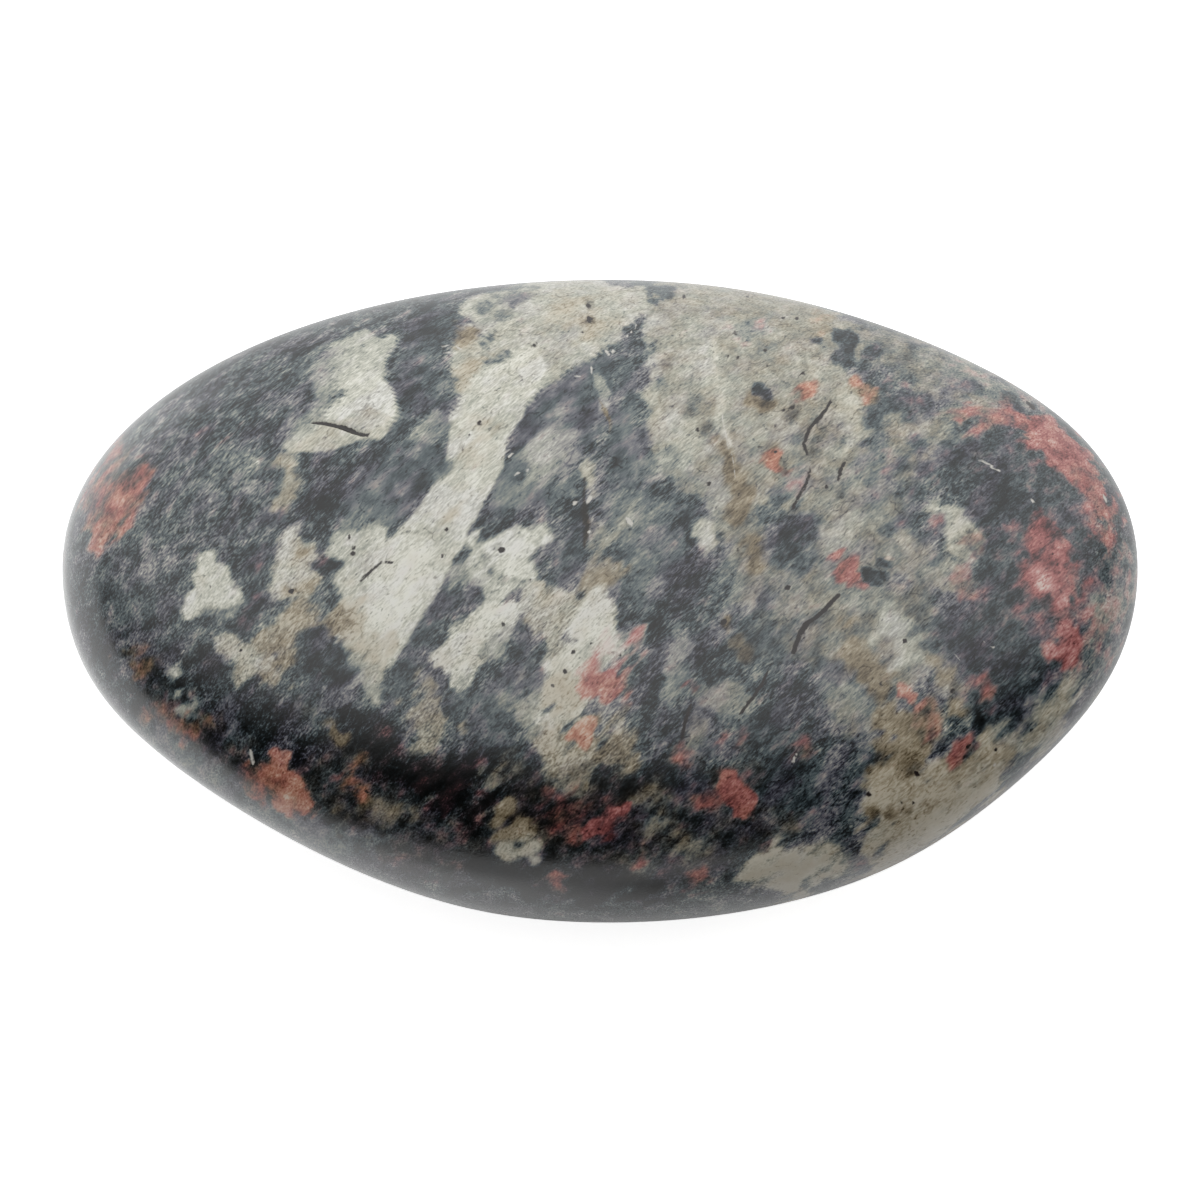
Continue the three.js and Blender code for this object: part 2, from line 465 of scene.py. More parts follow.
# %% Dark spots in the grey field
crisp("top spot", 0.40, (840, 336, 8), (848, 338, 10), (848, 354, 6), (846, 366, 3))
dots(soft, "shoulder mottle", 0.47, (872, 352, 8), (864, 368, 6), (885, 384, 10), (905, 382, 8),
     (890, 402, 11), (839, 358, 7), rose=0.2)
dots(soft, "shoulder mottle low", 0.44, (908, 408, 11), (925, 404, 10), (950, 388, 7), (872, 420, 9),
     (918, 442, 9), rose=0.2)
dots(soft, "shoulder mottle right", 0.46, (968, 388, 9), (980, 392, 6), (930, 415, 6), rose=0.2)
dots(ragged, "shoulder lights", 0.66, (930, 360, 10), (950, 434, 12), rust=0.3)
crisp("rim tick", 0.42, (1005, 396, 4), (1014, 402, 5), (1020, 412, 3))
soft("bruise stain", 0.52, (752, 402, 7), (762, 404, 7), rust=1.0)
crisp("bruise", 0.36, (758, 390, 6), (766, 396, 5))
soft("small thumb spot", 0.44, (776, 494, 6), (774, 504, 5))
ragged("thumb spot", 0.39, (800, 518, 9), (793, 532, 16), (778, 550, 13), (800, 546, 11), rose=0.15)
soft("thumb spot foot", 0.46, (800, 563, 8), (785, 568, 6))
dots(soft, "right mottle", 0.46, (900, 466, 6), (925, 470, 6), (940, 478, 6), (918, 490, 8), rose=0.2)
dots(soft, "right mottle low", 0.46, (905, 520, 8), (918, 534, 9), (936, 562, 5), (890, 480, 5),
     (890, 535, 6), rose=0.2)
crisp("dark oval", 0.36, (813, 341, 3), (821, 341, 4))
crisp("rim streak", 0.46, (650, 305, 3), (662, 298, 3), (677, 291, 3))
crisp("rim streak low", 0.50, (655, 291, 2), (672, 291, 2))
print("strokes:", len(painted))

# %% [markdown]
# ## The dark wedge
# A wedge of dark rock hangs from the top edge into the middle of the stone. It is clouded with grey, and a
# curved dark vein runs down through it.

# %% The wedge
soft("wedge point", 0.45, (629, 340, 3), (626, 356, 8), (627, 378, 11), (630, 398, 8))
crisp("wedge left", 0.43, (608, 360, 6), (575, 381, 12), (545, 408, 13), (531, 432, 13), (522, 455, 12),
      fibre=0.3)
crisp("wedge edge", 0.48, (520, 460, 10), (508, 482, 11), (500, 505, 12), fibre=0.3)
soft("wedge middle", 0.47, (596, 386, 20), (580, 400, 26), (568, 425, 30), (552, 450, 28), fibre=0.3)
soft("wedge right", 0.47, (620, 420, 12), (624, 445, 18), (630, 468, 18), fibre=0.3)
soft("wedge foot", 0.56, (505, 498, 13), (530, 496, 15), (556, 494, 14), (572, 486, 9), fibre=0.3)
soft("wedge branch", 0.46, (641, 432, 5), (644, 460, 5), (656, 494, 6), (672, 510, 7), (688, 516, 9),
     (698, 524, 6))
soft("wedge skirt", 0.55, (620, 505, 20), (640, 520, 30), (655, 545, 33), (640, 575, 32), (650, 598, 18))
soft("skirt side", 0.37, (699, 516, 5), (694, 532, 6), (696, 548, 8), (690, 566, 11), (676, 588, 15),
     (662, 610, 11), fibre=1.0)
ragged("dark right", 0.40, (707, 560, 7), (698, 588, 10), (688, 602, 10), (704, 622, 9), rose=0.1,
       fibre=1.0)
soft("beside the wedge top", 0.79, (649, 318, 9), (648, 345, 7), (653, 372, 5), (651, 402, 7), rust=0.3)
print("strokes:", len(painted))

# %% Clouds in the wedge
ragged("upper cloud", 0.70, (560, 436, 16), (548, 450, 20), (534, 462, 12))
ragged("upper cloud heart", 0.76, (552, 446, 10), (541, 456, 9))
ragged("below the cloud", 0.70, (574, 454, 13), (566, 470, 14), (552, 482, 10))
ragged("branch light", 0.66, (648, 464, 9), (658, 478, 9))
soft("second cloud", 0.78, (584, 460, 8), (587, 474, 10), (592, 492, 5), rust=0.4)
crisp("wedge patch", 0.70, (599, 380, 6), (601, 394, 8), (603, 408, 5))
crisp("patch vein", 0.52, (594, 396, 1.6), (606, 412, 2.0), (610, 424, 2.0), (606, 440, 1.6), rust=1.0)
dots(ragged, "lilac flecks", 0.58, (602, 430, 6), (614, 482, 8), (634, 466, 8), (668, 512, 6))
ragged("skirt light", 0.63, (636, 512, 10), (632, 545, 15), (650, 572, 10), rust=0.2)
ragged("tan hollow", 0.66, (608, 560, 10), (602, 576, 13), (594, 590, 9), rust=0.8)
ragged("hollow top", 0.71, (600, 530, 8), (602, 546, 11), rust=0.4)
soft("dark tongue", 0.45, (582, 512, 5), (577, 535, 9), (568, 556, 13), (562, 572, 9))
crisp("dark vein", 0.24, (583, 480, 1.2), (586, 500, 2.0), (588, 520, 2.0), (585, 546, 1.4), rust=0.8)
print("strokes:", len(painted))

# %% [markdown]
# ## The long pale stripe
# The pale stripe is the stone's clearest mark. It comes in at the top, bends left round a dark lobe and
# runs out at the lower left. Its right side is sharp, where it meets the wedge. Other cream patches lie
# around it.

# %% The stripe
crisp("stripe head", 0.83, (478, 312, 18), (540, 318, 38), (590, 310, 30), (622, 306, 18), (638, 298, 11),
      rust=0.3)
crisp("stripe neck", 0.77, (612, 334, 11), (588, 336, 20), (560, 345, 27), (520, 362, 33), (480, 366, 32),
      rust=0.3)
crisp("stripe body", 0.88, (520, 371, 27), (497, 394, 31), (480, 430, 32), (477, 455, 28), (461, 490, 27),
      (447, 515, 29), (433, 535, 32), (418, 560, 35), (402, 580, 37), (388, 600, 38), (376, 620, 38),
      (368, 640, 34), rust=0.2)
soft("stripe shoulder", 0.88, (342, 546, 17), (372, 540, 20), (345, 566, 15), (350, 590, 14), rust=0.2)
ragged("stripe low", 0.96, (412, 570, 22), (392, 600, 28), (378, 628, 26), rust=0.2)
soft("stripe foot", 0.76, (362, 655, 20), (368, 678, 16), (374, 700, 9), rust=0.3)
ragged("head tint", 0.80, (575, 310, 16), (590, 322, 14), rust=0.7)
ragged("neck tint", 0.78, (462, 376, 9), (470, 350, 10), rust=0.9)
soft("left edge light", 0.84, (456, 468, 9), (462, 452, 8), rust=0.2)
dots(ragged, "body tint", 0.84, (488, 436, 5), (476, 462, 7), (464, 486, 7), (452, 512, 6), rust=0.6)
ragged("foot tint", 0.89, (350, 605, 16), (345, 628, 18), (380, 645, 14), rust=0.7)
ragged("grey foot", 0.78, (352, 680, 12), (364, 694, 12))
print("strokes:", len(painted))

# %% Dark rock round the stripe
soft("dark band", 0.41, (440, 298, 10), (425, 335, 18), (415, 372, 19), (405, 408, 14), (390, 438, 9))
ragged("band light", 0.50, (440, 385, 10), (425, 360, 8))
crisp("rim notch", 0.44, (443, 310, 6), (448, 326, 7), (462, 321, 4), (474, 318, 2.5))
soft("rust notch", 0.52, (460, 331, 6), (472, 328, 5), rust=1.0)
crisp("tooth", 0.42, (428, 410, 12), (442, 404, 8), (457, 396, 3))
soft("above the lobe", 0.66, (436, 424, 11), (420, 438, 8), (408, 450, 6))
soft("lobe", 0.48, (405, 466, 26), (428, 464, 18), (372, 490, 28), (402, 502, 18), (345, 500, 18),
     fibre=0.3)
ragged("lobe dark end", 0.34, (322, 472, 16), (322, 502, 17), (316, 526, 9), (358, 466, 9), fibre=1.0)
ragged("lobe low edge", 0.66, (346, 524, 10), (362, 518, 9))
dots(soft, "lobe flecks", 0.58, (398, 487, 6), (410, 452, 5), (437, 474, 4), (392, 460, 4))
dots(crisp, "head spots", 0.46, (486, 343, 4), (493, 337, 3), (482, 311, 4), (488, 303, 2.5), (511, 304, 5))
crisp("tick", 0.40, (506, 352, 4), (497, 360, 4), (486, 364, 2.5))
ragged("head shade", 0.57, (500, 298, 9), (516, 294, 12), (514, 308, 10), (488, 312, 7), rose=0.15)
dots(crisp, "spots on the right", 0.46, (588, 303, 3.5), (590, 316, 5), (582, 318, 3), rust=0.6)
print("strokes:", len(painted))

# %% Cream patches on the left
crisp("pebble top", 0.84, (338, 354, 13), (364, 350, 20), (370, 368, 16), (393, 341, 7))
crisp("pebble", 0.90, (364, 392, 20), (370, 406, 27), (345, 420, 24))
crisp("pebble foot", 0.82, (372, 424, 16), (345, 430, 13), (318, 438, 16), (292, 445, 9), rust=0.4)
soft("pebble neck", 0.84, (342, 374, 12), (356, 380, 14))
soft("pebble notch", 0.64, (327, 394, 6), (317, 396, 7))
soft("pebble notch right", 0.44, (402, 366, 5), (402, 380, 4))
ragged("pebble shade", 0.72, (325, 360, 7), (318, 418, 8), (300, 430, 8))
soft("pebble tail", 0.72, (288, 462, 10), (290, 485, 9), (280, 508, 9), rust=0.6)
soft("tail foot", 0.42, (266, 524, 5), (285, 518, 5), rose=0.2)
crisp("left lens", 0.91, (208, 563, 10), (212, 582, 20), (226, 600, 15), (196, 604, 13), (184, 616, 6),
      rust=0.15)
soft("lens stripe", 0.56, (205, 613, 4), (222, 610, 4), (238, 606, 4))
soft("lens shade", 0.36, (263, 545, 8), (256, 565, 11), (252, 590, 10), (250, 612, 10), (243, 627, 10),
     rose=0.2)
soft("second lens", 0.87, (294, 530, 10), (290, 552, 17), (280, 588, 15), rust=0.35, fibre=0.8)
soft("second lens right", 0.83, (306, 548, 12), (308, 572, 16), (302, 592, 13), rust=0.5, fibre=0.8)
dots(soft, "second lens stains", 0.68, (304, 552, 7), (287, 590, 6), (312, 590, 6), rust=1.0)
ragged("below the lenses", 0.66, (298, 612, 12), (322, 606, 12), (334, 622, 15), rust=0.8, fibre=0.9)
soft("purple blob", 0.38, (326, 565, 7), (338, 566, 4), rose=0.3)
dots(soft, "blob foot", 0.58, (318, 592, 4), (315, 608, 4))
print("strokes:", len(painted))

# %% Pale patches at the lower left
soft("foot patch", 0.84, (230, 646, 11), (244, 658, 15), (262, 664, 17), (244, 682, 13), rust=0.5,
     fibre=0.9)
soft("foot patch top", 0.73, (268, 640, 13), (288, 630, 14), (306, 622, 10), rust=0.8, fibre=0.9)
ragged("foot patch side", 0.62, (288, 652, 15), (284, 672, 12), rust=0.8, fibre=0.9)
ragged("dark gap", 0.31, (312, 646, 12), (314, 668, 14), (340, 654, 10), (338, 684, 11))
ragged("grey mottle", 0.60, (312, 714, 13), (300, 724, 8), rust=0.3)
ragged("black field", 0.34, (175, 668, 12), (215, 692, 16), (250, 712, 22), (300, 745, 22), (262, 738, 18),
       fibre=1.0)
ragged("black field right", 0.28, (345, 712, 10), (372, 735, 18), fibre=1.0)
dots(soft, "left bits", 0.86, (178, 672, 6), (176, 694, 8), (183, 712, 10), (194, 700, 6), (199, 722, 7))
dots(ragged, "left grey bits", 0.48, (225, 730, 9), (230, 708, 7))
soft("tan wisp", 0.56, (332, 722, 5), (342, 738, 5), rust=1.0)
print("strokes:", len(painted))

# %% [markdown]
# ## The middle
# Below the wedge the rock is mixed: cream and grey fields cut by slanting slate stripes, with rose along
# their edges.

# %% Pale fields in the middle
soft("pale heart", 0.92, (484, 546, 12), (505, 546, 18), (535, 540, 14), (549, 538, 9), (500, 562, 14),
     (526, 572, 16))
soft("middle field", 0.96, (599, 606, 17), (588, 626, 26), (598, 648, 20), (575, 655, 18), (556, 664, 12),
     rust=0.3, fibre=0.7)
soft("olive middle", 0.79, (530, 594, 15), (540, 614, 20), (560, 606, 18), (552, 640, 13), rust=0.5,
     fibre=0.9)
soft("middle field left", 0.95, (510, 606, 12), (492, 620, 18), (468, 645, 22), (450, 662, 19),
     (464, 680, 13), rust=0.3, fibre=0.8)
ragged("middle field foot", 0.92, (540, 718, 17), (572, 710, 18), (556, 694, 16), rust=0.4, fibre=1.0)
soft("yellow foot", 0.88, (556, 690, 16), (580, 684, 14), (545, 704, 11), rust=0.8, fibre=0.9)
ragged("middle field toe", 0.82, (572, 752, 22), (592, 744, 16), (550, 736, 14), (578, 784, 15), rust=0.7,
       fibre=1.0)
soft("right cream", 0.84, (700, 526, 8), (709, 542, 10), rust=0.3)
print("strokes:", len(painted))

# %% Slate through the middle
soft("slate stripe", 0.44, (460, 568, 3), (454, 586, 7), (447, 602, 11), (434, 614, 9), (420, 635, 7),
     (409, 657, 9), (400, 678, 11), (392, 697, 8))
soft("slate triangle", 0.54, (458, 598, 8), (470, 597, 5))
# painted highlight: the soft reflection of the light on the polish, laid in as a pale lilac tone
soft("lilac sheen", 0.88, (475, 546, 11), (476, 564, 14), (482, 580, 14), (500, 592, 12), (520, 586, 12))
dots(soft, "sheen flecks", 0.60, (504, 582, 3), (480, 590, 4), (492, 573, 3))
soft("middle window", 0.46, (522, 634, 7), (526, 652, 12), (516, 670, 14), (532, 680, 10))
ragged("window foot", 0.47, (505, 692, 16), (482, 702, 18), (458, 704, 12))
ragged("slate run", 0.47, (480, 722, 18), (502, 728, 14), (495, 745, 10))
ragged("below the run", 0.36, (508, 746, 9), (480, 752, 8))
ragged("grey streaks", 0.70, (410, 704, 12), (428, 694, 16), (428, 718, 17), (420, 742, 12), (440, 735, 12),
       rust=0.6, fibre=1.0)
dots(soft, "streak lights", 0.72, (430, 680, 8), (418, 702, 6), (440, 672, 6), (446, 735, 6), (462, 728, 6),
     rust=0.7)
dots(soft, "streak shade", 0.44, (392, 716, 7), (450, 704, 6), (398, 740, 7))
ragged("light run", 0.74, (522, 708, 10), (536, 704, 9), (528, 724, 9), rust=0.3)
dots(ragged, "light bits", 0.72, (466, 572, 10), (472, 590, 8), (500, 645, 10), (508, 658, 9), rust=0.2)
print("strokes:", len(painted))

# %% Right of the middle
soft("dark below the wedge", 0.32, (652, 624, 8), (662, 646, 10), (662, 664, 9), fibre=1.0)
ragged("dark below the skirt", 0.31, (652, 688, 11), (658, 708, 12), (664, 732, 10), fibre=1.0)
ragged("olive run", 0.64, (618, 728, 14), (610, 745, 17), (630, 768, 13), (600, 716, 8), rust=0.8,
       fibre=1.0)
soft("grey field right", 0.66, (683, 642, 9), (684, 656, 12), (679, 676, 11), (672, 705, 9), rust=0.1)
soft("light right", 0.68, (702, 694, 12), (722, 698, 18), (740, 698, 17), rust=0.3)
ragged("dark blob", 0.34, (714, 656, 12), (710, 668, 9), (728, 666, 10), fibre=1.0)
dots(soft, "dark blob right", 0.46, (736, 645, 7), (744, 656, 6), rust=0.6)
ragged("dark triangle", 0.35, (770, 690, 8), (790, 690, 15), (812, 692, 12), (800, 714, 16), fibre=1.0)
ragged("blue column", 0.38, (778, 725, 18), (790, 760, 20), (778, 790, 18), (800, 800, 14))
dots(soft, "column lights", 0.48, (782, 706, 6), (796, 738, 6), (772, 748, 6))
soft("smoke", 0.52, (820, 775, 11))
ragged("beside the column", 0.62, (850, 718, 13), (860, 726, 13), rust=0.3)
ragged("low greys", 0.58, (690, 745, 14), (702, 726, 14), rust=0.4)
dots(ragged, "low slate", 0.42, (744, 726, 10), (758, 740, 10), (728, 748, 10), rose=0.1)
dots(ragged, "low dark", 0.36, (685, 780, 18), (720, 755, 9), (660, 780, 10), (860, 790, 10), (668, 738, 9),
     rose=0.1)
print("strokes:", len(painted))

# %% [markdown]
# ## The bottom and the right end
# The lower front is the darkest: black rock with painted shade over it, where the light falls off.
# An ochre flank lies at the right with a few stained patches. The right end is a purple-grey mass with
# the largest rose patches.

# %% Bottom rock with painted shade
# These dark strokes are black rock and painted shade at once: the lower front is darkened where the light
# falls off
soft("lower band", 0.21, (380, 735, 16), (390, 765, 20), (425, 778, 18), rose=0.35, fibre=1.0)
ragged("band top", 0.18, (448, 758, 12), (475, 762, 9), (505, 766, 8), rose=0.2, fibre=1.0)
ragged("bottom band", 0.15, (440, 792, 28), (468, 768, 14), (500, 790, 12), (470, 822, 14), rose=0.4,
       fibre=1.0)
ragged("bottom band right", 0.31, (550, 814, 15), (612, 802, 12), (655, 786, 8), (560, 832, 14), rose=0.3,
       rust=0.4)
ragged("low right band", 0.38, (720, 835, 24), (690, 815, 10), (760, 830, 14), rust=0.3)
dots(ragged, "bottom greys", 0.58, (492, 775, 10), (515, 768, 12), (575, 784, 14), rose=0.1, rust=0.6)
dots(ragged, "bottom greys right", 0.60, (655, 800, 15), (660, 828, 14), (690, 850, 14), (640, 866, 12),
     rust=0.6)
ragged("bottom rim", 0.18, (480, 868, 18), (560, 884, 20), (640, 890, 16), rust=0.2)
ragged("low right light", 0.52, (772, 818, 12), (785, 836, 9), rust=0.4)
ragged("tan patch", 0.68, (508, 812, 12), (502, 830, 13), (522, 830, 12), rust=1.0)
soft("tan patch foot", 0.86, (504, 849, 11), (528, 848, 10), rust=0.5)
dots(ragged, "smudges", 0.54, (380, 806, 7), (410, 812, 8), (385, 825, 7), (346, 818, 10), (360, 824, 10),
     rust=0.6)
print("strokes:", len(painted))

# %% Ochre flank
ragged("flank", 0.80, (885, 784, 28), (918, 802, 38), (900, 832, 24), (945, 772, 26), (985, 778, 20),
       rust=0.9)
ragged("flank rim", 0.86, (985, 790, 18), (950, 815, 24), (915, 842, 24), (870, 868, 18), rust=0.8)
ragged("flank foot", 0.96, (790, 866, 20), (828, 858, 18), (760, 870, 15), (800, 890, 10), rust=0.7)
ragged("flank top", 0.64, (895, 722, 20), (912, 742, 20), (880, 748, 16), rust=1.0)
ragged("flank right", 0.76, (985, 748, 13), (1006, 754, 13), (975, 765, 12), rust=0.8)
dots(ragged, "flank shade", 0.54, (932, 735, 8), (938, 715, 8), (915, 770, 6), rust=0.8)
dots(ragged, "flank gap", 0.50, (848, 836, 9), (846, 814, 9), (818, 818, 9), (858, 862, 8), rose=0.2)
ragged("flank low", 0.84, (866, 842, 9), (884, 826, 13), rust=0.8)
ragged("flank notch", 0.42, (868, 756, 10), (858, 774, 8))
dots(soft, "flank stains", 0.52, (905, 810, 5), (890, 815, 5), (872, 815, 5), (925, 808, 4), (868, 770, 6),
     rust=1.0)
print("strokes:", len(painted))

# %% Right end
soft("cream lens", 0.86, (936, 508, 10), (950, 521, 14), (965, 540, 17), (972, 558, 9), rust=0.4)
soft("lens foot", 0.76, (956, 574, 10), (948, 588, 8), (966, 590, 6), rose=0.2, rust=0.5)
ragged("dark heart", 0.42, (960, 455, 14), (990, 445, 16), (1012, 472, 20), (1012, 500, 20),
       (1000, 528, 12), rose=0.1)
ragged("green heart", 0.38, (1005, 490, 14))
ragged("dark arm", 0.44, (1040, 490, 14), (1060, 510, 12), (1085, 545, 10), rose=0.15)
dots(soft, "heart flecks", 0.52, (985, 480, 5), (1000, 455, 5), (1030, 505, 5), (1020, 480, 4), rose=0.2)
ragged("dark under the lens", 0.38, (968, 582, 8), (985, 585, 14), (1000, 560, 12), rose=0.15)
ragged("dark foot", 0.36, (1024, 684, 15), (1012, 705, 12), (1044, 670, 7))
ragged("dark low", 0.38, (950, 640, 14), (985, 655, 18), (1000, 630, 14), rose=0.15)
ragged("right end bits", 0.64, (955, 690, 8), (935, 660, 6), (960, 712, 9), rust=0.8)
ragged("light bits right", 0.78, (1068, 686, 14), (1052, 710, 12), (1040, 732, 9), (1085, 684, 9), rust=0.6)
ragged("light bits low", 0.76, (1030, 740, 10), (1050, 735, 8), (1010, 738, 7), rust=0.5)
dots(soft, "dark bits", 0.42, (1060, 475, 9), (1050, 462, 7), (1098, 545, 9), (1108, 565, 8),
     (1095, 590, 8), rose=0.2)
dots(soft, "dark bits low", 0.40, (1085, 612, 6), (1050, 622, 7), (1030, 625, 8), (1095, 632, 5), rose=0.2)
crisp("drop", 0.26, (979, 706, 3), (977, 720, 7), (973, 733, 3))
crisp("drop foot", 0.26, (972, 742, 4), (966, 752, 4))
print("strokes:", len(painted))

# %% [markdown]
# ## Rose
# Rhodonite proper is the rose mineral. It sits in patches at both ends and in small spots between.

# %% Rose on the left and in the middle
soft("left end", 0.55, (148, 468, 8), (135, 484, 16), (120, 502, 22), rose=0.7, rust=0.5)
soft("left end low", 0.65, (112, 514, 19), (105, 530, 16), (99, 546, 8), rose=0.75, rust=0.5)
ragged("left rim", 0.58, (98, 488, 12), (90, 512, 12), (118, 450, 10), rose=0.5, rust=0.4)
soft("lower left knob", 0.64, (282, 756, 6), (278, 768, 8), rose=0.8, rust=0.5)
soft("lower left", 0.72, (268, 772, 12), (284, 788, 21), (300, 806, 12), rose=1.0, rust=0.8)
soft("lower left tail", 0.54, (250, 772, 8), (258, 792, 14), rose=0.7, rust=0.6)
soft("lower left second", 0.52, (362, 756, 5), (352, 768, 8), (350, 785, 9), (360, 797, 7), rose=0.7,
     rust=0.8)
dots(soft, "second heart", 0.32, (358, 772, 5), (352, 790, 4), rose=0.3)
ragged("lower left rim", 0.56, (160, 713, 8), (178, 726, 10), (190, 736, 6), rose=0.6, rust=0.6)
dots(ragged, "lower left specks", 0.48, (133, 648, 9), (135, 668, 9), (203, 725, 6), rose=0.5, rust=0.9)
ragged("middle veil", 0.91, (628, 646, 10), (612, 654, 18), (592, 662, 16), rose=0.4, rust=0.2)
dots(ragged, "middle rose", 0.66, (598, 682, 13), (612, 685, 12), (624, 670, 9), rose=1.0, rust=0.5)
ragged("middle arm", 0.72, (640, 636, 5), (633, 652, 7), (625, 665, 8), rose=0.65)
soft("middle foot", 0.79, (588, 722, 12), (578, 735, 13), rose=1.0, rust=1.0)
ragged("bottom veil", 0.40, (550, 812, 12), (575, 815, 12), rose=0.7, rust=0.4)
soft("bottom rose", 0.49, (618, 814, 8), (605, 826, 14), (592, 834, 9), rose=1.0)
soft("bottom left", 0.50, (572, 843, 6), rose=0.9, rust=0.4)
soft("bottom second", 0.57, (726, 776, 9), (737, 795, 13), (744, 810, 10), rose=1.0, rust=0.4)
dots(ragged, "bottom specks", 0.50, (704, 810, 12), (697, 878, 10), (556, 882, 9), (640, 862, 7), rose=0.7,
     rust=0.4)
dots(ragged, "middle specks", 0.54, (676, 760, 8), (693, 688, 8), (726, 732, 8), rose=0.7, rust=0.4)
print("strokes:", len(painted))

# %% Rose on the right
soft("band", 0.64, (1008, 416, 8), (1038, 432, 18), (1062, 448, 20), (1082, 472, 17), rose=1.0, rust=0.25)
ragged("band low", 0.63, (1085, 475, 16), (1100, 505, 16), (1112, 540, 12), rose=0.8, rust=0.3)
ragged("band start", 0.64, (962, 420, 10), (985, 418, 11), (1010, 415, 10), rose=0.6, rust=0.4)
ragged("heart veil", 0.55, (1040, 540, 20), (1048, 562, 27), (1056, 590, 25), (1060, 618, 18), rose=0.85,
       rust=0.1)
soft("heart", 0.72, (1040, 577, 10), (1052, 585, 14), (1062, 600, 10), rose=1.0)
dots(ragged, "below the heart", 0.60, (1046, 612, 9), (1080, 616, 10), rose=0.6)
soft("rose foot", 0.66, (1062, 624, 9), (1070, 642, 13), (1066, 656, 13), (1050, 650, 9), rose=1.0)
# rose rock along the right rim, lightened further as a painted reflection at the rim
ragged("rim", 0.71, (1124, 556, 10), (1122, 590, 12), (1112, 622, 12), (1098, 655, 12), (1084, 684, 10),
       rose=0.45)
dots(ragged, "eye lid", 0.60, (846, 573, 13), (856, 577, 9), rose=1.0, rust=0.3)
ragged("eye lid right", 0.62, (872, 553, 8), (892, 562, 8), rose=0.3, rust=0.4)
crisp("eye", 0.30, (864, 573, 6), (874, 579, 8), (882, 574, 4))
crisp("eye top", 0.32, (881, 560, 5))
soft("shoulder spot", 0.62, (860, 386, 8), (868, 392, 8), rose=0.6, rust=0.8)
soft("crack spot", 0.55, (807, 390, 6), (802, 400, 4), rose=0.8, rust=0.7)
soft("crack spot foot", 0.48, (796, 404, 5), (791, 412, 5), rose=0.3, rust=0.6)
soft("upper spot", 0.58, (771, 453, 7), (777, 465, 7), rose=0.9, rust=0.8)
ragged("rim spot", 0.72, (820, 331, 9), rose=0.3, rust=0.9)
ragged("beside the lower spot", 0.58, (920, 714, 8), (935, 706, 9), (930, 724, 8), rose=0.5, rust=0.7)
soft("lower spot", 0.72, (904, 694, 11), (912, 698, 11), rose=1.0, rust=0.6)
dots(ragged, "lower specks", 0.54, (952, 740, 9), (806, 746, 9), (986, 692, 9), (955, 755, 7), rose=0.7,
     rust=0.4)
dots(ragged, "beside the lens", 0.58, (978, 548, 7), (962, 592, 12), (982, 463, 8), (910, 583, 7), rose=0.5,
     rust=0.4)
dots(ragged, "red wash", 0.54, (935, 525, 10), (1000, 610, 12), (1020, 605, 12), (1015, 540, 10), rose=0.45)
print("strokes:", len(painted))

# %% [markdown]
# ## Cracks, specks and chips
# Fine dark cracks, pepper specks and a few white chips give the stone its scale. They are drawn into two
# fields of their own, which hold how deep inside a line each corner lies, so that they stay on top of the
# rock.

# %% The fine brush
DEEPEST = 9.0
fine = {name: np.full(corner_count, -DEEPEST) for name in ("crack", "chip")}


def scratch(kind, *points):
    """Draw one thin line, or one dot, into a fine field."""
    near, inside = stroke_depth(points, DEEPEST)
    fine[kind][near] = np.maximum(fine[kind][near], np.clip(inside, -DEEPEST, DEEPEST))


SLIT = ((311, 421, 1.2), (322, 424, 1.5), (338, 427, 2.6), (350, 430, 2.6), (356, 432, 1.7), (367, 435, 1.9))
scratch("crack", *SLIT)
print("fine fields:", list(fine))

# %% Cracks
CRACKS = (
    ((831, 402, 1.2), (820, 418, 1.9), (807, 434, 1.7), (803, 444, 1.6), (808, 455, 1.2)),
    ((846, 464, 1.2), (840, 474, 1.7), (838, 481, 1.3)),
    ((811, 469, 1.2), (806, 484, 1.6), (796, 498, 1.5), (790, 509, 1.2)),
    ((838, 598, 1.8), (830, 606, 2.2), (820, 615, 2.0), (808, 625, 2.6), (801, 638, 2.4), (795, 652, 2.8)),
    ((362, 582, 1.4), (372, 572, 1.6), (382, 561, 1.4)),
    ((386, 561, 1.8), (393, 562, 1.8)),
    ((530, 347, 1.2), (537, 340, 1.2)),
    ((564, 373, 1.2), (578, 364, 1.0)),
    ((770, 670, 1.4), (755, 695, 1.6), (742, 712, 1.4)),
    ((690, 705, 1.6), (684, 722, 1.8), (680, 740, 1.4)),
    ((1025, 402, 1.2), (1034, 410, 1.2)),
)
for crack in CRACKS:
    scratch("crack", *crack)
print("cracks:", len(CRACKS))

